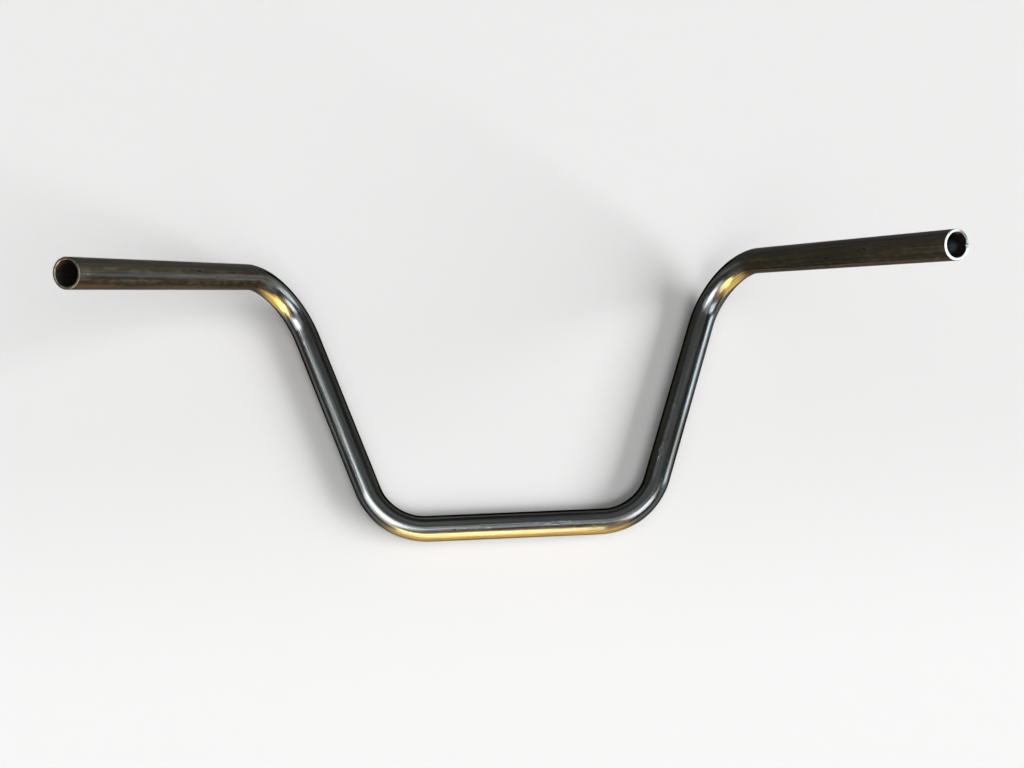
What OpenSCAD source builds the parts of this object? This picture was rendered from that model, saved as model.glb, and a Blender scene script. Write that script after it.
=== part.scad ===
// Motorcycle handlebar: one bare steel tube, welded along an inner seam, cut to length and bent
// four times. The straight in the middle is where the fork's risers clamp it. From there each side
// turns up a leg, and then folds back out of the legs' plane into the straight that carries a grip.
//
// The origin is the middle of the clamp section, on the tube's axis. +X runs along the clamp
// section to the right-hand side, +Y along the rise, and +Z out of the legs' plane to the grips'
// side. All sizes are in millimetres, and lengths are measured along the tube's axis.

/* [Tube] */
// Outside diameter of the tube
tube_d = 25.4; // [22:0.1:32]
// Wall thickness of the tube
tube_wall = 2.4; // [1.6:0.1:3.2]

/* [Clamp section] */
// Length of the straight between the two lower bends
clamp_length = 170.5; // [90:0.5:260]

/* [Lower bends] */
// Radius of the lower bends, to the tube's axis
lower_bend_radius = 63; // [45:0.5:90]
// Angle that each lower bend turns through
lower_bend_angle = 69.6; // [45:0.1:90]

/* [Legs] */
// Length of the straight between a lower and an upper bend
leg_length = 171.5; // [80:0.5:260]
// Turn of the upper bend's plane about the leg, from the plane of the lower bends
leg_roll = 116.6; // [90:0.1:135]

/* [Upper bends] */
// Radius of the upper bends, to the tube's axis
upper_bend_radius = 60; // [45:0.5:90]
// Angle that each upper bend turns through
upper_bend_angle = 100.5; // [80:0.1:110]

/* [Grip sections] */
// Length of each straight end of the tube, which takes the grip and the controls
grip_length = 267; // [150:1:300]
// Width of the broken edges at the left end, which was filed round
left_edge_break = 0.8; // [0.2:0.1:1]
// Width of the broken edges at the right end, as it left the saw
right_edge_break = 0.3; // [0.2:0.1:1]

/* [Seam] */
// Width of the weld bead on the tube's inner wall
seam_width = 3; // [2:0.1:4]
// Height that the bead was rolled down to
seam_height = 0.2; // [0.1:0.01:0.22]
// Place of the bead around the clamp section, from the rise direction towards the grips' side
seam_angle = 233; // [0:1:359]

/* [Hidden] */

$fn = 96;

steel_colour = [0.24, 0.24, 0.25];

tube_r = tube_d / 2;
bore_r = tube_r - tube_wall;

// The bead is the cap of a circle that stands into the bore, seam_width wide where they cross.
bore_sagitta = bore_r - sqrt(pow(bore_r, 2) - pow(seam_width / 2, 2));
bead_cap = seam_height + bore_sagitta;
bead_r = (pow(seam_width / 2, 2) + pow(bead_cap, 2)) / (2 * bead_cap);
bead_offset = bore_r - seam_height + bead_r;

// The bead keeps its place around the tube, so the legs' roll moves it in the upper bends' own frame.
upper_seam_angle = seam_angle - leg_roll;

// The bending die leaves the wall in a bend this much thinner on each face than in a straight.
bend_thinning = 0.02;
// Each end of a bend reaches this far into the wall of the straight beside it.
bend_lap = 0.5;
// Tools that cut the ends run past the steel by this much.
overrun = 1;

// The hollow round of the tube with its bead, thinned on each face. A bend's inside is towards +X.
module tube_outline(bead_angle, thinning = 0) {
    rotate(bead_angle)
        difference() {
            circle(r = tube_r - thinning);
            difference() {
                circle(r = bore_r + thinning);
                translate([bead_offset, 0])
                    circle(r = bead_r - thinning);
            }
        }
}

// A straight of tube from the origin along +X.
module straight(length, bead_angle) {
    rotate([90, 0, 90])
        linear_extrude(height = length)
            tube_outline(bead_angle);
}

// A bend that starts at the origin along +X and turns towards +Y, and laps into both straights.
module bend(radius, angle, bead_angle) {
    lap_angle = bend_lap / radius * 180 / PI;
    translate([0, radius, 0])
        rotate([0, 0, -90 - lap_angle])
            rotate_extrude(angle = angle + 2 * lap_angle)
                translate([radius, 0])
                    mirror([1, 0])
                        tube_outline(bead_angle, bend_thinning);
}

// Moves what follows a bend to its far end.
module past_bend(radius, angle) {
    translate([0, radius, 0])
        rotate([0, 0, angle])
            translate([0, -radius, 0])
                children();
}

// Moves what follows a straight to its far end.
module past_straight(length) {
    translate([length, 0, 0])
        children();
}

// The two cuts that break the outer and the inner edge of an end, which lies at the origin.
module broken_edges(width) {
    rotate([0, 90, 0]) {
        rotate_extrude()
            polygon([
                [tube_r - width - overrun, overrun],
                [tube_r + overrun, -width - overrun],
                [tube_r + overrun, overrun]
            ]);
        translate([0, 0, -width])
            cylinder(h = width + overrun, r1 = bore_r, r2 = bore_r + width + overrun);
    }
}

// The straight that takes a grip, with its end cut square and its edges broken.
module grip_section(edge_break) {
    difference() {
        straight(grip_length, upper_seam_angle);
        past_straight(grip_length)
            broken_edges(edge_break);
    }
}

// One side of the bar from the middle of the clamp section, with the bends' planes rolled apart.
module side(edge_break) {
    straight(clamp_length / 2, seam_angle);
    past_straight(clamp_length / 2) {
        bend(lower_bend_radius, lower_bend_angle, seam_angle);
        past_bend(lower_bend_radius, lower_bend_angle) {
            straight(leg_length, seam_angle);
            past_straight(leg_length)
                rotate([leg_roll, 0, 0]) {
                    bend(upper_bend_radius, upper_bend_angle, upper_seam_angle);
                    past_bend(upper_bend_radius, upper_bend_angle)
                        grip_section(edge_break);
                }
        }
    }
}

module handlebar() {
    color(steel_colour) {
        side(right_edge_break);
        mirror([1, 0, 0])
            side(left_edge_break);
    }
}

handlebar();
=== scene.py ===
from math import asin, atan2, cos, degrees, hypot, pi, radians, sin, tan

import bpy
from mathutils import Matrix, Vector


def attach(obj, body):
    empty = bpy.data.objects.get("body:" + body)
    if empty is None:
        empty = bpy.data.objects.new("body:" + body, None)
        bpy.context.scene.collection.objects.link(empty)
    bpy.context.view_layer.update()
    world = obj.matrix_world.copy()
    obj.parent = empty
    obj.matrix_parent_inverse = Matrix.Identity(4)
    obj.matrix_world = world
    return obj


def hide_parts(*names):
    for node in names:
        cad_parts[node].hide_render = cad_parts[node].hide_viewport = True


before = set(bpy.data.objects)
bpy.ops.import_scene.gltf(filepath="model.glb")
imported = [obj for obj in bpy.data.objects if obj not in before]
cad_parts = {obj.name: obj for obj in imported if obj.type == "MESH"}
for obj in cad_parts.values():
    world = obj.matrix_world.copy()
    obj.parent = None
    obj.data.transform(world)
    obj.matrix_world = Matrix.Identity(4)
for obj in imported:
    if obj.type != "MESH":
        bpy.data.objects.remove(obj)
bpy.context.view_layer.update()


# The bar. Sizes in metres and degrees, along the tube's axis from the middle to one end.
bar = {
    "tubeRadius": 0.01268,
    "wall": 0.0024,
    "boreRadius": 0.0103,
    "sides": 96,
    "clampHalf": 0.08525,
    "lowerBend": {"radius": 0.063, "angle": 69.6, "steps": 28, "roll": 0},
    "leg": 0.1715,
    "upperBend": {"radius": 0.060, "angle": 100.5, "steps": 40, "roll": 116.6},
    "grip": 0.26677,
    # the grip again, in rings that close up towards its end
    "gripStages": (0.22987, 0.0200, 0.0060, 0.0050, 0.0025, 0.0014, 0.0010, 0.0005, 0.0005),
    "bendNarrowing": 0.035,      # a bend is drawn this much narrower in its own plane
    "bendNarrowingRun": 14,      # degrees over which it starts and ends
    "seamAngle": 233,            # weld bead along the inside
    "seamHalf": 0.0016,
    "seamHeight": 0.0002,
    "seamShoulder": 1.3,         # more than 1 makes its top flatter
    "insideTo": 0.0105,          # bead and burrs move the wall fully up to this radius
    "insideFade": 0.0014,
    "leftEdge": 0.0010,          # filed round
    "rightEdge": 0.0003,         # as sawn
    "burrShoulder": 1.25,
    "burrMiddle": 0.0004,        # in from the end
    # burrs on the inner rims: side, clock, height, depth along the bore, half width
    "burrs": ((1, 231, 0.0009, 0.0017, 0.0016), (1, 243, 0.0005, 0.0010, 0.0009),
              (-1, 12, 0.0007, 0.0016, 0.0014), (-1, 28, 0.0003, 0.0009, 0.0010)),
}


def tubeSections():
    # every section of the right half: kind, start, direction, side axis, up axis, length so far
    point, along, inward, up = Vector((0, 0, 0)), Vector((1, 0, 0)), Vector((0, 1, 0)), Vector((0, 0, 1))
    sections, run, roll = [], 0.0, 0.0

    def straight(length):
        nonlocal point, run
        sections.append({"kind": "straight", "start": point.copy(), "along": along.copy(), "inward": inward.copy(),
                         "up": up.copy(), "run": run, "length": length, "roll": roll})
        point = point + along * length
        run += length

    def bend(size):
        nonlocal point, along, inward, up, run, roll
        turn = radians(size["roll"])
        inward, up = inward * cos(turn) + up * sin(turn), up * cos(turn) - inward * sin(turn)
        roll += turn
        angle, radius = radians(size["angle"]), size["radius"]
        centre = point + inward * radius
        sections.append({"kind": "bend", "start": point.copy(), "along": along.copy(), "inward": inward.copy(),
                         "up": up.copy(), "run": run, "length": radius * angle, "roll": roll,
                         "centre": centre, "radius": radius, "angle": angle, "steps": size["steps"]})
        along, inward = along * cos(angle) + inward * sin(angle), inward * cos(angle) - along * sin(angle)
        point = centre - inward * radius
        run += radius * angle

    straight(bar["clampHalf"])
    bend(bar["lowerBend"])
    straight(bar["leg"])
    bend(bar["upperBend"])
    straight(bar["grip"])
    return sections


sections = tubeSections()
halfLength = sections[-1]["run"] + sections[-1]["length"]


def placeOnTube(spot):
    # distance along the tube from its middle (negative on the left) and the place across it, unbent
    side = -1 if spot.x < 0 else 1
    here = Vector((abs(spot.x), spot.y, spot.z))
    outermost, nearEnough = 0.0128, 1e-7
    best = None
    for number, part in enumerate(sections):
        if part["kind"] == "straight":
            offset = here - part["start"]
            distance = offset.dot(part["along"])
            across, up = offset.dot(part["inward"]), offset.dot(part["up"])
            over = max(0, -distance, distance - part["length"])
        else:
            offset = here - part["centre"]
            turned = atan2(offset.dot(part["along"]), -offset.dot(part["inward"]))
            distance = part["radius"] * turned
            across = part["radius"] - hypot(offset.dot(part["along"]), offset.dot(part["inward"]))
            up = offset.dot(part["up"])
            over = max(0, -distance, distance - part["length"])
        miss = over + max(0, hypot(across, up) - outermost)
        if best is None or miss < best[0] - nearEnough:
            best = (miss, number, part["run"] + distance, across, up, part["roll"])
    number, distance, across, up, roll = best[1:]
    flatY = across * cos(roll) - up * sin(roll)
    flatZ = across * sin(roll) + up * cos(roll)
    return {"section": number, "distance": side * distance, "y": flatY, "z": flatZ, "across": across, "up": up}


def ease(share):
    share = max(0, min(1, share))
    return share * share * (3 - 2 * share)


def deselectAll():
    if bpy.context.object and bpy.context.object.mode != "OBJECT":
        bpy.ops.object.mode_set(mode="OBJECT")
    bpy.ops.object.select_all(action="DESELECT")


def makeActive(piece):
    deselectAll()
    piece.select_set(True)
    bpy.context.view_layer.objects.active = piece


def pick(piece, kind, test):
    # leaves the piece in edit mode with just those vertices, edges or faces picked that pass the test
    makeActive(piece)
    mesh = piece.data
    for part in (mesh.vertices, mesh.edges, mesh.polygons):
        for element in part:
            element.select = False
    chosen = {"VERT": mesh.vertices, "EDGE": mesh.edges, "FACE": mesh.polygons}[kind]
    count = 0
    for element in chosen:
        if test(element):
            element.select = True
            count += 1
    bpy.ops.object.mode_set(mode="EDIT")
    bpy.ops.mesh.select_mode(type=kind)
    return count


def drawRightHalf():
    deselectAll()
    bpy.ops.mesh.primitive_circle_add(vertices=bar["sides"], radius=bar["tubeRadius"], fill_type="NOTHING",
                                      location=(0, 0, 0), rotation=(0, pi / 2, 0))
    piece = bpy.context.object
    piece.name = "barTube"
    bpy.ops.object.transform_apply(location=True, rotation=True, scale=True)
    bpy.ops.object.mode_set(mode="EDIT")
    bpy.ops.mesh.select_all(action="SELECT")
    for number, part in enumerate(sections):
        if part["kind"] == "straight":
            last = number == len(sections) - 1
            for length in (bar["gripStages"] if last else (part["length"],)):
                bpy.ops.mesh.extrude_region_move(TRANSFORM_OT_translate={"value": part["along"] * length})
        else:
            bpy.ops.mesh.spin(steps=part["steps"], angle=part["angle"], center=part["centre"],
                              axis=part["inward"].cross(part["along"]))
    bpy.ops.object.mode_set(mode="OBJECT")
    return piece


def narrowBends(piece):
    # drawing a tube round a die pulls it a little narrow in the bend's plane
    for vertex in piece.data.vertices:
        place = placeOnTube(vertex.co)
        part = sections[place["section"]]
        if part["kind"] != "bend":
            continue
        turned = (abs(place["distance"]) - part["run"]) / part["radius"]
        edge = radians(bar["bendNarrowingRun"])
        grown = ease(min(turned / edge, (part["angle"] - turned) / edge))
        toCentre = part["centre"] - Vector((abs(vertex.co.x), vertex.co.y, vertex.co.z))
        toCentre -= part["up"] * toCentre.dot(part["up"])
        vertex.co += toCentre.normalized() * (-place["across"] * bar["bendNarrowing"] * grown)


def mirrorHalf(piece):
    makeActive(piece)
    mirror = piece.modifiers.new("otherSide", "MIRROR")
    mirror.use_axis = (True, False, False)
    mirror.use_clip = True
    mirror.merge_threshold = 0.00001
    bpy.ops.object.modifier_apply(modifier=mirror.name)
    bpy.ops.object.mode_set(mode="EDIT")
    bpy.ops.mesh.select_all(action="SELECT")
    bpy.ops.mesh.remove_doubles(threshold=0.000001)
    bpy.ops.mesh.normals_make_consistent(inside=False)
    bpy.ops.object.mode_set(mode="OBJECT")


def giveWall(piece):
    makeActive(piece)
    wall = piece.modifiers.new("wall", "SOLIDIFY")
    wall.thickness = bar["wall"]
    wall.offset = -1
    wall.use_even_offset = True
    bpy.ops.object.modifier_apply(modifier=wall.name)


def endOf(side):
    part = sections[-1]
    mirror = Vector((side, 1, 1))
    point = (part["start"] + part["along"] * part["length"]) * mirror
    return point, part["along"] * mirror


def breakEdges(piece, side, width, segments):
    point, along = endOf(side)
    flatWithin, roundWithin = 0.00002, 0.0001

    def onCorner(edge):
        # an edge that runs round the end's outer or inner rim
        offsets = [piece.data.vertices[number].co - point for number in edge.vertices]
        flat = all(abs(offset.dot(along)) < flatWithin for offset in offsets)
        return flat and abs(offsets[0].length - offsets[1].length) < roundWithin

    count = pick(piece, "EDGE", onCorner)
    bpy.ops.mesh.bevel(offset=width, segments=segments, affect="EDGES", profile=0.5)
    bpy.ops.object.mode_set(mode="OBJECT")
    print("edges broken on side", side, "edges", count)


def outwardAt(place, side):
    # the direction straight out from the tube's axis
    part = sections[place["section"]]
    inward = part["inward"]
    if part["kind"] == "bend":
        turned = (abs(place["distance"]) - part["run"]) / part["radius"]
        inward = inward * cos(turned) - part["along"] * sin(turned)
    out = (inward * place["across"] + part["up"] * place["up"]).normalized()
    return Vector((side * out.x, out.y, out.z))


def clockApart(first, second):
    return abs((first - second + 180) % 360 - 180)


def raiseBeadAndBurrs(piece):
    # the weld bead runs along the whole inside; each end has a burr or two left on its inner rim
    for vertex in piece.data.vertices:
        place = placeOnTube(vertex.co)
        radius = hypot(place["y"], place["z"])
        inside = 1 - ease((radius - bar["insideTo"]) / bar["insideFade"])
        if inside <= 0:
            continue
        clock = degrees(atan2(place["z"], place["y"])) % 360
        side = -1 if place["distance"] < 0 else 1
        across = radians(clockApart(clock, bar["seamAngle"])) * bar["boreRadius"]
        height = bar["seamHeight"] * ease(bar["seamShoulder"] - across / bar["seamHalf"])
        depth = halfLength - abs(place["distance"])
        for burrSide, burrClock, burrHeight, burrDepth, burrHalf in bar["burrs"]:
            if side == burrSide:
                sideways = radians(clockApart(clock, burrClock)) * bar["boreRadius"] / burrHalf
                away = hypot(sideways, (depth - bar["burrMiddle"]) / burrDepth)
                height += burrHeight * ease(bar["burrShoulder"] - away)
        vertex.co -= outwardAt(place, side) * height * inside


barTube = drawRightHalf()
narrowBends(barTube)
mirrorHalf(barTube)
giveWall(barTube)
breakEdges(barTube, -1, bar["leftEdge"], 4)
breakEdges(barTube, 1, bar["rightEdge"], 2)
raiseBeadAndBurrs(barTube)
print("tube drawn,", len(barTube.data.polygons), "faces")


# The steel's finish. Colours are the metal's own reflectance, apart from the painted shade, reflections and
# highlights marked below. Distances are in metres along the tube from its middle, negative on the left, and clocks
# are degrees around it, as it lay before it was bent.
steel = {
    "cleanColour": (0.130, 0.134, 0.134),      # clamp section, bends and legs, rubbed clean by the die
    "hazeAndShadeColour": (0.070, 0.067, 0.056),       # thin brown haze in random patches, and painted shade at the listed places, dimming the legs' highlights
    "millColour": (0.032, 0.026, 0.013),       # dull mill finish left on the straight ends
    "millPale": (0.062, 0.053, 0.033),
    "brownColour": (0.110, 0.064, 0.026),      # warmer brown low on the grips
    "paintedShadeColour": (0.034, 0.032, 0.025),      # painted shade: dark underneath and low on the far and left sides
    "warmReflectionColour": (0.66, 0.43, 0.14),         # painted reflection: a warm golden colour low on the front of the bar
    "warmReflectionBright": (0.90, 0.62, 0.17),         # the same painted reflection, brighter at the upper bends
    "gripHighlightColour": (0.080, 0.085, 0.090),      # painted highlight: pale blue-grey strip along the left grip, which is also made less rough
    "scuffColour": (0.40, 0.44, 0.46),         # bright scratches
    "gripFrom": 0.402,
    "gripTo": 0.432,
    "edgeTint": (0.16, 0.15, 0.14),
    "cleanRoughness": 0.21,
    "gripRoughness": 0.44,
    "gripMetal": 0.60,
    "glossLevel": 0.2,
    "bandBump": 0.00006,
    "streakBump": 0.00002,
    "grainBump": 0.000012,
    # the patterns' sizes, as repeats in a metre along the tube and across it
    "bandScale": (5, 330, 330),
    "streakScale": (10, 950, 950),
    "hairScale": (35, 2500, 2500),
    "patchScale": (22, 100, 100),
    "mottleScale": (95, 240, 240),
    "grainScale": (900, 2200, 2200),
    "scratchScale": (110, 1500, 1500),
    "speckScale": (330, 420, 420),
    # places with painted shade in the haze colour, or with the warmer brown: distance, clock, half length, half
    # width
    "dimmedPlaces": ((0.200, 122, 0.050, 0.0075), (0.205, 168, 0.060, 0.010), (-0.300, 170, 0.050, 0.008)),
    "browns": ((-0.440, 118, 0.060, 0.0065), (-0.560, 122, 0.100, 0.0070), (-0.690, 118, 0.060, 0.0080),
               (0.450, 118, 0.060, 0.0060), (0.600, 124, 0.130, 0.0060)),
    # scuffed places: distance, clock, half length, half width
    "scuffs": ((0.048, 98, 0.034, 0.0030), (0.083, 112, 0.012, 0.0030), (-0.035, 104, 0.020, 0.0016),
               (0.186, 66, 0.012, 0.0030), (0.235, 68, 0.006, 0.0022), (-0.6985, 60, 0.0060, 0.0032),
               (-0.330, 112, 0.030, 0.0020)),
    # dark pits and lines: distance, clock, half length, half width
    "pits": ((-0.541, 36, 0.0042, 0.0009), (-0.553, 30, 0.0016, 0.0007), (-0.512, 60, 0.0012, 0.0010),
             (0.062, 118, 0.0040, 0.0006), (-0.060, 108, 0.0022, 0.0007), (0.505, 96.5, 0.0950, 0.0010),
             (0.560, 70, 0.0030, 0.0008), (0.611, 44, 0.0022, 0.0009), (-0.468, 84, 0.0030, 0.0007)),
}


# Where light and shade are painted in, by the compass heading that the surface faces and its tilt in degrees, 90
# being straight up.
paintedLightPlaces = {
    # the first three: where shade is painted in, underneath and low on the far and left sides
    "underneath": {"highTilt": 2, "highFade": 24, "strength": 0.8},
    "farSide": {"heading": 92, "half": 86, "fade": 20, "highTilt": 53, "highFade": 14, "strength": 1.0},
    "leftSide": {"heading": 190, "half": 40, "fade": 16, "highTilt": 42, "highFade": 14, "strength": 0.5},
    # where a warm golden reflection is painted in, low on the front
    "warmReflection": {"heading": 264, "half": 36, "fade": 18, "highTilt": 43, "highFade": 10, "lowTilt": -16, "lowFade": 36,
              "rightLoss": 0.28, "rightFrom": 0.32, "rightFade": 0.05},
    # where a highlight is painted in, as a strip along the left grip
    "gripHighlight": {"clock": 57, "half": 13, "shoulder": 1.3, "from": 0.41, "fade": 0.03},
}


def paintedShare(paintedLight, heading, tilt):
    share = ease((paintedLight["highTilt"] - tilt) / paintedLight["highFade"])
    if "lowTilt" in paintedLight:
        share *= ease((tilt - paintedLight["lowTilt"]) / paintedLight["lowFade"])
    if "heading" in paintedLight:
        share *= ease((paintedLight["half"] - clockApart(heading, paintedLight["heading"])) / paintedLight["fade"])
    return share * paintedLight.get("strength", 1.0)


def storeUnbent(piece):
    # for the materials: each vertex's place on the unbent tube, and its share of painted shade, painted warm
    # reflection and the painted highlight on the left grip
    unbent = piece.data.attributes.new("unbent", "FLOAT_VECTOR", "POINT")
    paintedLight = piece.data.attributes.new("paintedLight", "FLOAT_VECTOR", "POINT")
    for vertex in piece.data.vertices:
        place = placeOnTube(vertex.co)
        unbent.data[vertex.index].vector = (place["distance"], place["y"], place["z"])
        tilt = degrees(asin(max(-1, min(1, vertex.normal.z))))
        heading = degrees(atan2(vertex.normal.y, vertex.normal.x)) % 360
        # painted shade: the largest share of the three shaded places
        dark = max(paintedShare(paintedLightPlaces[name], heading, tilt) for name in ("underneath", "farSide", "leftSide"))
        # painted reflection: its share of warm golden colour, by the way the surface faces
        tint = paintedLightPlaces["warmReflection"]
        onRight = ease((place["distance"] - tint["rightFrom"]) / tint["rightFade"])
        warmReflection = paintedShare(tint, heading, tilt) * (1 - tint["rightLoss"] * onRight)
        # painted highlight: its share of the strip along the left grip
        strip = paintedLightPlaces["gripHighlight"]
        clock = degrees(atan2(place["z"], place["y"])) % 360
        gripHighlight = ease(strip["shoulder"] - clockApart(clock, strip["clock"]) / strip["half"])
        gripHighlight *= ease((-place["distance"] - strip["from"]) / strip["fade"])
        paintedLight.data[vertex.index].vector = (dark, warmReflection, gripHighlight)


storeUnbent(barTube)


def put(tree, kind, inputs, **settings):
    # one node, with its settings and with a value or a link for each input
    node = tree.nodes.new(kind)
    for name, value in settings.items():
        setattr(node, name, value)
    for name, value in inputs.items():
        if isinstance(value, bpy.types.NodeSocket):
            tree.links.new(value, node.inputs[name])
        elif isinstance(value, tuple) and len(value) == 3 and node.inputs[name].type == "RGBA":
            node.inputs[name].default_value = (*value, 1)
        else:
            node.inputs[name].default_value = value
    return node


def stretched(tree, vector, scale, turn=(0, 0, 0)):
    return put(tree, "ShaderNodeMapping", {"Vector": vector, "Scale": scale, "Rotation": turn}).outputs["Vector"]


def noise(tree, vector, detail=3, roughness=0.5, distortion=0.0):
    return put(tree, "ShaderNodeTexNoise", {"Vector": vector, "Scale": 1.0, "Detail": detail, "Roughness": roughness,
                                            "Distortion": distortion}).outputs["Fac"]


def ramp(tree, value, low, high, toLow=0.0, toHigh=1.0, soft=False):
    return put(tree, "ShaderNodeMapRange", {"Value": value, "From Min": low, "From Max": high, "To Min": toLow,
                                            "To Max": toHigh}, interpolation_type="SMOOTHSTEP" if soft else "LINEAR",
               clamp=True).outputs["Result"]


def spread(tree, pattern, low, high):
    # a noise's middle range, spread from low to high
    return ramp(tree, pattern, 0.3, 0.7, low, high)


def maths(tree, operation, first, second=0.0):
    return put(tree, "ShaderNodeMath", {0: first, 1: second}, operation=operation).outputs["Value"]


def times(tree, *factors):
    product = factors[0]
    for factor in factors[1:]:
        product = maths(tree, "MULTIPLY", product, factor)
    return product


def plus(tree, *parts):
    total = parts[0]
    for part in parts[1:]:
        total = maths(tree, "ADD", total, part)
    return total


def blendColour(tree, share, first, second, mode="MIX"):
    return put(tree, "ShaderNodeMix", {0: share, 6: first, 7: second}, data_type="RGBA",
               blend_type=mode).outputs[2]


def shaded(tree, colour, shade):
    grey = put(tree, "ShaderNodeCombineColor", {0: shade, 1: shade, 2: shade}).outputs["Color"]
    return blendColour(tree, 1.0, colour, grey, "MULTIPLY")


def newMaterial(name):
    material = bpy.data.materials.new(name)
    material.use_nodes = True
    return material, material.node_tree, material.node_tree.nodes["Principled BSDF"]


def attribute(tree, name):
    return put(tree, "ShaderNodeAttribute", {}, attribute_name=name).outputs["Vector"]


def addBump(tree, height, distance, under=None):
    inputs = {"Height": height, "Strength": 1.0, "Distance": distance}
    if under:
        inputs["Normal"] = under
    return put(tree, "ShaderNodeBump", inputs).outputs["Normal"]


def spot(tree, unbent, distance, clock, halfLength, halfWidth, radius=0.0127, hardness=0.6):
    # 1 at a place on the tube, falling to 0 at its edge
    turn = radians(clock)
    depth = 0.02
    local = put(tree, "ShaderNodeMapping", {"Vector": unbent, "Rotation": (turn, 0, 0),
                                            "Location": (distance, radius * cos(turn), radius * sin(turn)),
                                            "Scale": (halfLength, depth, halfWidth)},
                vector_type="TEXTURE").outputs["Vector"]
    away = put(tree, "ShaderNodeVectorMath", {0: local}, operation="LENGTH").outputs["Value"]
    return ramp(tree, away, hardness, 1.1, 1.0, 0.0, soft=True)


def anyOf(tree, masks):
    total = masks[0]
    for mask in masks[1:]:
        total = maths(tree, "MAXIMUM", total, mask)
    return total


def bareSteel():
    material, tree, shader = newMaterial("bareSteel")
    unbent = attribute(tree, "unbent")
    place = put(tree, "ShaderNodeSeparateXYZ", {"Vector": unbent})
    along = maths(tree, "ABSOLUTE", place.outputs["X"])
    paintedLight = put(tree, "ShaderNodeSeparateXYZ", {"Vector": attribute(tree, "paintedLight")})

    bands = noise(tree, stretched(tree, unbent, steel["bandScale"]), 4, 0.6)
    streaks = noise(tree, stretched(tree, unbent, steel["streakScale"]), 4, 0.6)
    hairs = noise(tree, stretched(tree, unbent, steel["hairScale"]), 3, 0.55)
    patches = noise(tree, stretched(tree, unbent, steel["patchScale"]), 5, 0.62, 0.5)
    mottle = noise(tree, stretched(tree, unbent, steel["mottleScale"]), 4, 0.6, 0.3)
    grain = noise(tree, stretched(tree, unbent, steel["grainScale"]), 2, 0.5)

    # the mill finish starts at a wandering line
    wander = spread(tree, patches, -0.012, 0.012)
    onGrip = ramp(tree, plus(tree, along, wander), steel["gripFrom"], steel["gripTo"], soft=True)

    # colour of the clean steel, with its haze in random patches and painted shade at the listed places
    # painted shade: the listed places darken the highlights on the legs
    hazeAndShade = anyOf(tree, [spot(tree, unbent, *dimmedPlace, hardness=0.2) for dimmedPlace in steel["dimmedPlaces"]])
    hazeAndShade = maths(tree, "MAXIMUM", ramp(tree, patches, 0.57, 0.75, 0.0, 0.8), times(tree, hazeAndShade, 0.8))
    clean = blendColour(tree, hazeAndShade, steel["cleanColour"], steel["hazeAndShadeColour"])

    # colour of the grips
    blotches = plus(tree, times(tree, patches, 0.5), times(tree, mottle, 0.5))
    mill = blendColour(tree, ramp(tree, blotches, 0.46, 0.58), steel["millColour"], steel["millPale"])
    brown = anyOf(tree, [spot(tree, unbent, *brownPlace, hardness=0.3) for brownPlace in steel["browns"]])
    brown = times(tree, brown, ramp(tree, bands, 0.35, 0.65, 0.4, 1.0))
    mill = blendColour(tree, brown, mill, steel["brownColour"])
    # painted highlight: a pale strip along the left grip
    gripHighlight = times(tree, paintedLight.outputs["Z"], ramp(tree, bands, 0.35, 0.6, 0.35, 0.9))
    mill = blendColour(tree, gripHighlight, mill, steel["gripHighlightColour"])

    # both together, with the painted shade, painted reflection and painted highlight over them
    colour = blendColour(tree, onGrip, clean, mill)
    # painted shade underneath and low on the far and left sides
    colour = blendColour(tree, paintedLight.outputs["X"], colour, steel["paintedShadeColour"])
    # painted reflection: warm golden colour low on the front of the bar
    warmReflection = times(tree, paintedLight.outputs["Y"], spread(tree, bands, 0.55, 1.0), ramp(tree, onGrip, 0, 1, 1.0, 0.08))
    gold = blendColour(tree, ramp(tree, along, 0.33, 0.37), steel["warmReflectionColour"], steel["warmReflectionBright"])
    colour = blendColour(tree, warmReflection, colour, gold)
    shade = times(tree, ramp(tree, bands, 0.32, 0.68, 0.68, 1.32), spread(tree, streaks, 0.70, 1.30),
                  spread(tree, hairs, 0.85, 1.15))

    # marks
    scratches = noise(tree, stretched(tree, unbent, steel["scratchScale"], (0, 0.02, 0.03)), 4, 0.7)
    scuffed = anyOf(tree, [spot(tree, unbent, *scuff, hardness=0.2) for scuff in steel["scuffs"]])
    scuffed = times(tree, scuffed, ramp(tree, scratches, 0.54, 0.66))
    specks = noise(tree, stretched(tree, unbent, steel["speckScale"]), 2, 0.5)
    pitted = anyOf(tree, [spot(tree, unbent, *pit) for pit in steel["pits"]])
    pitted = maths(tree, "MAXIMUM", pitted, ramp(tree, specks, 0.735, 0.775, 0.0, 0.8))
    # darker in a thin ring round the outside just behind the right end
    endDarkRing = ramp(tree, place.outputs["X"], halfLength - 0.0016, halfLength - 0.0007, 0.0, 0.8, soft=True)
    dark = maths(tree, "MAXIMUM", pitted, endDarkRing)
    colour = blendColour(tree, scuffed, colour, steel["scuffColour"])
    shade = times(tree, shade, ramp(tree, dark, 0, 1, 1.0, 0.18))
    tree.links.new(shaded(tree, colour, shade), shader.inputs["Base Color"])

    tree.links.new(ramp(tree, onGrip, 0, 1, 1.0, steel["gripMetal"]), shader.inputs["Metallic"])
    shader.inputs["Specular Tint"].default_value = (*steel["edgeTint"], 1)
    shader.inputs["Specular IOR Level"].default_value = steel["glossLevel"]

    rough = put(tree, "ShaderNodeMix", {0: onGrip, 2: steel["cleanRoughness"], 3: steel["gripRoughness"]}).outputs[0]
    rough = maths(tree, "SUBTRACT", rough, times(tree, gripHighlight, 0.10))
    rough = plus(tree, rough, spread(tree, hairs, -0.05, 0.05), ramp(tree, patches, 0.4, 0.7, -0.02, 0.05),
                 times(tree, scuffed, 0.2))
    tree.links.new(rough, shader.inputs["Roughness"])

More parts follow.
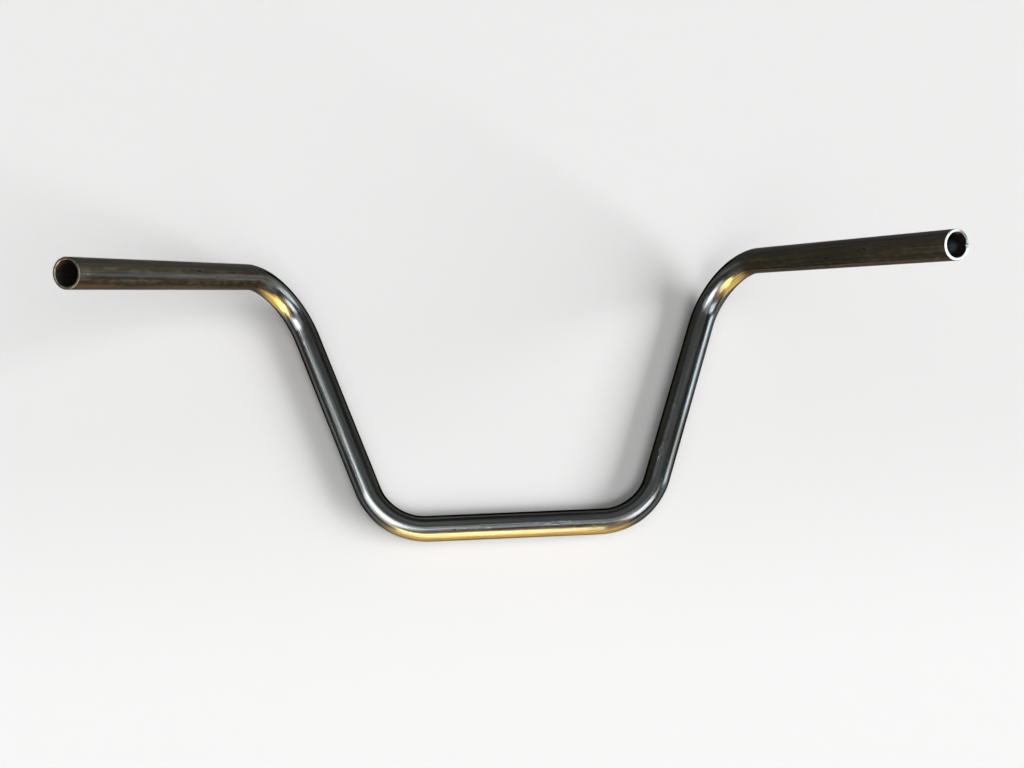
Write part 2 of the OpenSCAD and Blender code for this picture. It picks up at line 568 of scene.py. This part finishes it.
    wide = addBump(tree, bands, steel["bandBump"])
    drawn = addBump(tree, streaks, steel["streakBump"], wide)
    fine = addBump(tree, plus(tree, hairs, grain), steel["grainBump"], drawn)
    tree.links.new(fine, shader.inputs["Normal"])
    return material


# The finish of the two ends and of the bore.
ends = {
    "sawnColour": (0.50, 0.50, 0.50),          # right end, fresh from the saw
    "sawnDark": (0.022, 0.026, 0.022),         # the part of it that stayed dark, and the burr
    "sawnDarkSpot": (276, 0.01, 0.0105),       # clock, half length, half width
    "burrSpot": (231, 0.01, 0.0026),
    "sawAngle": 38,
    "sawScale": (300, 420, 5200),
    "sawnBlotchScale": (300, 420, 420),
    "burrScale": (700, 900, 900),
    "sawnRoughness": 0.36,
    "sawBump": 0.00004,
    "filedColour": (0.128, 0.117, 0.094),      # left end, filed round and gone dull
    "filedLipHighlight": (0.260, 0.240, 0.200),
    "filedLip": 0.0107,                        # radius of the painted highlight on its inner lip
    "lipHalf": 0.0004,
    "filedPit": (14, 0.0016, 0.0008),
    "fileScale": (2600, 700, 700),
    "stainScale": (260, 260, 260),
    "filedRoughness": 0.42,
    "fileBump": 0.00005,
    "boreColour": (0.050, 0.046, 0.040),
    "boreBlueReflection": (0.480, 0.640, 0.720),
    "boreScale": (14, 800, 800),
    "rustScale": (340, 420, 420),
    "boreMetal": 0.6,
    "rustMetal": 0.2,
    "boreRoughness": 0.34,
    "rustRoughness": 0.8,
    "boreBump": 0.00006,
    "rustColour": (0.105, 0.036, 0.012),
    "rustSpots": ((-0.7030, 268, 0.0040, 0.0050), (-0.7000, 290, 0.0030, 0.0030)),
    "goldReflectionColour": (0.74, 0.45, 0.15),
    "goldReflectionSpot": (0.7010, 303, 0.0034, 0.0024),
    "blueReflectionSpot": (0.6890, 226, 0.0075, 0.0065),
}


def sawnSteel():
    # parallel saw marks across the face, a part of it that stayed darker, and the burr
    material, tree, shader = newMaterial("sawnSteel")
    unbent = attribute(tree, "unbent")
    sawn = noise(tree, stretched(tree, unbent, ends["sawScale"], (radians(ends["sawAngle"]), 0, 0)), 3, 0.6)
    blotches = noise(tree, stretched(tree, unbent, ends["sawnBlotchScale"]), 3, 0.6)
    dark = spot(tree, unbent, halfLength, *ends["sawnDarkSpot"], radius=0.0115, hardness=0.2)
    dark = times(tree, dark, ramp(tree, blotches, 0.35, 0.6, 0.6, 1.0))
    colour = blendColour(tree, dark, ends["sawnColour"], ends["sawnDark"])
    crumbs = noise(tree, stretched(tree, unbent, ends["burrScale"]), 2, 0.5)
    burr = spot(tree, unbent, halfLength, *ends["burrSpot"], radius=0.0106, hardness=0.4)
    burr = times(tree, burr, ramp(tree, crumbs, 0.40, 0.52))
    colour = blendColour(tree, burr, colour, ends["sawnDark"])
    tree.links.new(shaded(tree, colour, spread(tree, sawn, 0.75, 1.25)), shader.inputs["Base Color"])
    shader.inputs["Metallic"].default_value = 1
    rough = spread(tree, sawn, ends["sawnRoughness"] - 0.06, ends["sawnRoughness"] + 0.08)
    tree.links.new(rough, shader.inputs["Roughness"])
    tree.links.new(addBump(tree, sawn, ends["sawBump"]), shader.inputs["Normal"])
    return material


def filedSteel():
    # dull and handled, with a painted highlight as a pale line round the inner lip
    material, tree, shader = newMaterial("filedSteel")
    unbent = attribute(tree, "unbent")
    place = put(tree, "ShaderNodeSeparateXYZ", {"Vector": unbent})
    across, up = place.outputs["Y"], place.outputs["Z"]
    radius = maths(tree, "SQRT", plus(tree, times(tree, across, across), times(tree, up, up)))
    filed = noise(tree, stretched(tree, unbent, ends["fileScale"]), 4, 0.6)
    stains = noise(tree, stretched(tree, unbent, ends["stainScale"]), 4, 0.6)
    fromLip = maths(tree, "ABSOLUTE", maths(tree, "SUBTRACT", radius, ends["filedLip"]))
    lip = ramp(tree, fromLip, 0.0, ends["lipHalf"], 1.0, 0.0, soft=True)
    # painted highlight: a pale line round the inner lip
    lipHighlight = times(tree, lip, ramp(tree, stains, 0.40, 0.58))
    colour = blendColour(tree, lipHighlight, ends["filedColour"], ends["filedLipHighlight"])
    pit = spot(tree, unbent, -halfLength, *ends["filedPit"], radius=0.0106)
    shade = times(tree, spread(tree, filed, 0.7, 1.3), ramp(tree, pit, 0, 1, 1.0, 0.1),
                  ramp(tree, stains, 0.35, 0.65, 0.75, 1.25))
    tree.links.new(shaded(tree, colour, shade), shader.inputs["Base Color"])
    shader.inputs["Metallic"].default_value = 1
    rough = spread(tree, filed, ends["filedRoughness"] - 0.08, ends["filedRoughness"] + 0.08)
    tree.links.new(rough, shader.inputs["Roughness"])
    tree.links.new(addBump(tree, plus(tree, filed, stains), ends["fileBump"]), shader.inputs["Normal"])
    return material


def boreSteel():
    # dark drawn bore, rusty just inside the left end, with a painted bluish reflection and a painted golden
    # reflection inside the right one
    material, tree, shader = newMaterial("boreSteel")
    unbent = attribute(tree, "unbent")
    streaks = noise(tree, stretched(tree, unbent, ends["boreScale"]), 4, 0.6)
    blotches = noise(tree, stretched(tree, unbent, ends["rustScale"]), 4, 0.6)

    def boreSpot(place, hardness):
        return spot(tree, unbent, *place, radius=bar["boreRadius"], hardness=hardness)

    rust = anyOf(tree, [boreSpot(place, 0.2) for place in ends["rustSpots"]])
    rust = times(tree, rust, ramp(tree, blotches, 0.38, 0.56))
    rust = maths(tree, "MAXIMUM", rust, ramp(tree, blotches, 0.66, 0.74, 0.0, 0.7))
    # painted reflection: a bluish patch inside the right end
    colour = blendColour(tree, boreSpot(ends["blueReflectionSpot"], 0.1), ends["boreColour"], ends["boreBlueReflection"])
    colour = blendColour(tree, rust, colour, ends["rustColour"])
    # painted reflection: a golden glint inside the right end
    colour = blendColour(tree, boreSpot(ends["goldReflectionSpot"], 0.3), colour, ends["goldReflectionColour"])
    tree.links.new(shaded(tree, colour, spread(tree, streaks, 0.7, 1.3)), shader.inputs["Base Color"])
    tree.links.new(ramp(tree, rust, 0, 1, ends["boreMetal"], ends["rustMetal"]), shader.inputs["Metallic"])
    tree.links.new(ramp(tree, rust, 0, 1, ends["boreRoughness"], ends["rustRoughness"]), shader.inputs["Roughness"])
    tree.links.new(addBump(tree, plus(tree, streaks, rust), ends["boreBump"]), shader.inputs["Normal"])
    return material


def finishFaces(piece, material, test):
    # gives a material to the faces that pass the test
    piece.data.materials.append(material)
    count = pick(piece, "FACE", test)
    piece.active_material_index = len(piece.data.materials) - 1
    bpy.ops.object.material_slot_assign()
    bpy.ops.object.mode_set(mode="OBJECT")
    print(material.name, "on", count, "faces")


def onEnd(face, side, least):
    # the cut face and its broken edges, as far as they face along the tube
    point, along = endOf(side)
    deepest = 0.0013
    near = face.center.x * side > 0 and abs((face.center - point).dot(along)) < deepest
    return near and face.normal.dot(along) > least


def inBore(face):
    place = placeOnTube(face.center)
    out = outwardAt(place, -1 if place["distance"] < 0 else 1)
    largest = 0.0112
    return hypot(place["y"], place["z"]) < largest and face.normal.dot(out) < -0.5


barTube.data.materials.clear()
barTube.data.materials.append(bareSteel())
finishFaces(barTube, boreSteel(), inBore)
finishFaces(barTube, sawnSteel(), lambda face: onEnd(face, 1, 0.5))
finishFaces(barTube, filedSteel(), lambda face: onEnd(face, -1, 0.15))
makeActive(barTube)
sharpFrom = 35
bpy.ops.object.shade_smooth_by_angle(angle=radians(sharpFrom))
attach(barTube, "root")
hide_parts("handlebar")
print("steel finished")


# The floor, the lamps and the camera.
studio = {
    "floorFar": (0.855, 0.855, 0.855),         # painted darker behind the bar, from farFrom on
    "floorNear": (0.940, 0.940, 0.940),        # painted paler in front of it, from nearFrom on
    "farFrom": 0.13,
    "nearFrom": -0.17,
    "floorSize": 60,
    "floorLevel": -0.0127,
    "floorRoughness": 0.9,
    "floorGloss": 0.2,
    "metalLampsAt": 14.0,                      # metres from the bar
    "floorLampsAt": 120.0,
    "roomColour": (0.09, 0.09, 0.088),
    "backdropColour": (0.855, 0.855, 0.855),   # what the camera sees past the floor's edge
}

# Each lamp: compass direction and height in degrees as seen from the bar, its width and height in degrees,
# its radiance and colour, and what it lights. A lamp for the metal shows only in reflections, and a lamp for the
# floor in none.
lamps = {
    "softboxLeft": {"azimuth": 208, "elevation": 56, "wide": 30, "high": 28, "radiance": 7.0,
                    "colour": (0.95, 0.99, 1.0), "lights": "metal"},
    "softboxGlow": {"azimuth": 212, "elevation": 52, "wide": 34, "high": 60, "radiance": 1.9,
                    "colour": (0.96, 0.99, 1.0), "lights": "metal"},
    "stripLeft": {"azimuth": 165, "elevation": 53, "wide": 14, "high": 26, "radiance": 2.2,
                  "colour": (0.90, 0.97, 1.0), "lights": "metal"},
    "overheadPanel": {"azimuth": 270, "elevation": 80, "wide": 46, "high": 34, "radiance": 0.95,
                      "colour": (0.93, 0.99, 1.0), "lights": "metal"},
    "windowRight": {"azimuth": 3, "elevation": 11, "wide": 28, "high": 24, "radiance": 5.6,
                    "colour": (0.82, 0.94, 1.0), "lights": "metal"},
    "warmFront": {"azimuth": 257, "elevation": 15, "wide": 40, "high": 36, "radiance": 7.4,
                  "colour": (1.0, 0.86, 0.42), "lights": "metal"},
    "amberFront": {"azimuth": 266, "elevation": 24, "wide": 74, "high": 46, "radiance": 1.2,
                   "colour": (1.0, 0.62, 0.26), "lights": "metal"},
    "keyRight": {"azimuth": 324, "elevation": 43, "wide": 24, "high": 28, "radiance": 6.6,
                 "colour": (0.97, 0.99, 1.0), "lights": "metal"},
    "northGlow": {"azimuth": 90, "elevation": 58, "wide": 70, "high": 44, "radiance": 0.22,
                  "colour": (0.97, 0.99, 1.0), "lights": "metal"},
    "floorWindow": {"azimuth": 346, "elevation": 26, "wide": 44, "high": 22, "radiance": 10.5,
                    "colour": (1.0, 1.0, 1.0), "lights": "floor"},
    "floorFront": {"azimuth": 298, "elevation": 60, "wide": 40, "high": 16, "radiance": 3.7,
                   "colour": (1.0, 1.0, 1.0), "lights": "floor"},
    "floorOverhead": {"azimuth": 200, "elevation": 76, "wide": 60, "high": 60, "radiance": 0.36,
                      "colour": (1.0, 1.0, 1.0), "lights": "floor"},
}


def addLamp(name, lamp):
    distance = studio["metalLampsAt"] if lamp["lights"] == "metal" else studio["floorLampsAt"]
    azimuth, elevation = radians(lamp["azimuth"]), radians(lamp["elevation"])
    toLamp = Vector((cos(azimuth) * cos(elevation), sin(azimuth) * cos(elevation), sin(elevation)))
    deselectAll()
    bpy.ops.object.light_add(type="AREA", location=toLamp * distance)
    light = bpy.context.object
    light.name = name
    light.rotation_euler = toLamp.to_track_quat("Z", "Y").to_euler()
    light.data.shape = "RECTANGLE"
    light.data.size = 2 * distance * tan(radians(lamp["wide"]) / 2)
    light.data.size_y = 2 * distance * tan(radians(lamp["high"]) / 2)
    light.data.color = lamp["colour"]
    wattsPerRadiance = 4 * light.data.size * light.data.size_y
    light.data.energy = lamp["radiance"] * wattsPerRadiance
    light.visible_diffuse = lamp["lights"] != "metal"
    light.visible_glossy = lamp["lights"] != "floor"


for name, lamp in lamps.items():
    addLamp(name, lamp)

deselectAll()
bpy.ops.mesh.primitive_plane_add(size=studio["floorSize"], location=(0, 0, studio["floorLevel"]))
floor = bpy.context.object
floor.name = "floor"
bpy.ops.object.transform_apply(location=True, rotation=True, scale=True)
floorPaint, floorTree, floorShader = newMaterial("floorPaint")
floorPlace = put(floorTree, "ShaderNodeTexCoord", {}).outputs["Object"]
floorDepth = put(floorTree, "ShaderNodeSeparateXYZ", {"Vector": floorPlace}).outputs["Y"]
# painted light: the floor is paler in front of the bar and darker behind it, as light falling off
floorShare = ramp(floorTree, floorDepth, studio["nearFrom"], studio["farFrom"], soft=True)
floorColour = blendColour(floorTree, floorShare, studio["floorNear"], studio["floorFar"])
floorTree.links.new(floorColour, floorShader.inputs["Base Color"])
floorShader.inputs["Roughness"].default_value = studio["floorRoughness"]
floorShader.inputs["Specular IOR Level"].default_value = studio["floorGloss"]
floor.data.materials.append(floorPaint)

world = bpy.data.worlds.new("room")
bpy.context.scene.world = world
world.use_nodes = True
room = world.node_tree
toCamera = put(room, "ShaderNodeLightPath", {}).outputs["Is Camera Ray"]
roomColour = blendColour(room, toCamera, studio["roomColour"], studio["backdropColour"])
room.links.new(roomColour, room.nodes["Background"].inputs["Color"])

camera = {
    "place": (-0.0526, -0.1866, 1.1372),
    "looks": (0.0476, 0.2796, -0.9589),
    "up": (0.0371, 0.9589, 0.2814),
    "lens": 40.80,
    "sensor": 36,
    "nearest": 0.01,
    "furthest": 100,
}
looks = Vector(camera["looks"]).normalized()
right = looks.cross(Vector(camera["up"])).normalized()
up = right.cross(looks).normalized()
turned = Matrix((right, up, -looks)).transposed()
deselectAll()
bpy.ops.object.camera_add(location=camera["place"], rotation=turned.to_euler())
cameraObject = bpy.context.object
cameraObject.name = "photoCamera"
cameraObject.data.lens = camera["lens"]
cameraObject.data.sensor_width = camera["sensor"]
cameraObject.data.clip_start = camera["nearest"]
cameraObject.data.clip_end = camera["furthest"]
scene = bpy.context.scene
scene.camera = cameraObject
scene.view_settings.view_transform = "Standard"
print("studio set, camera at", camera["place"])
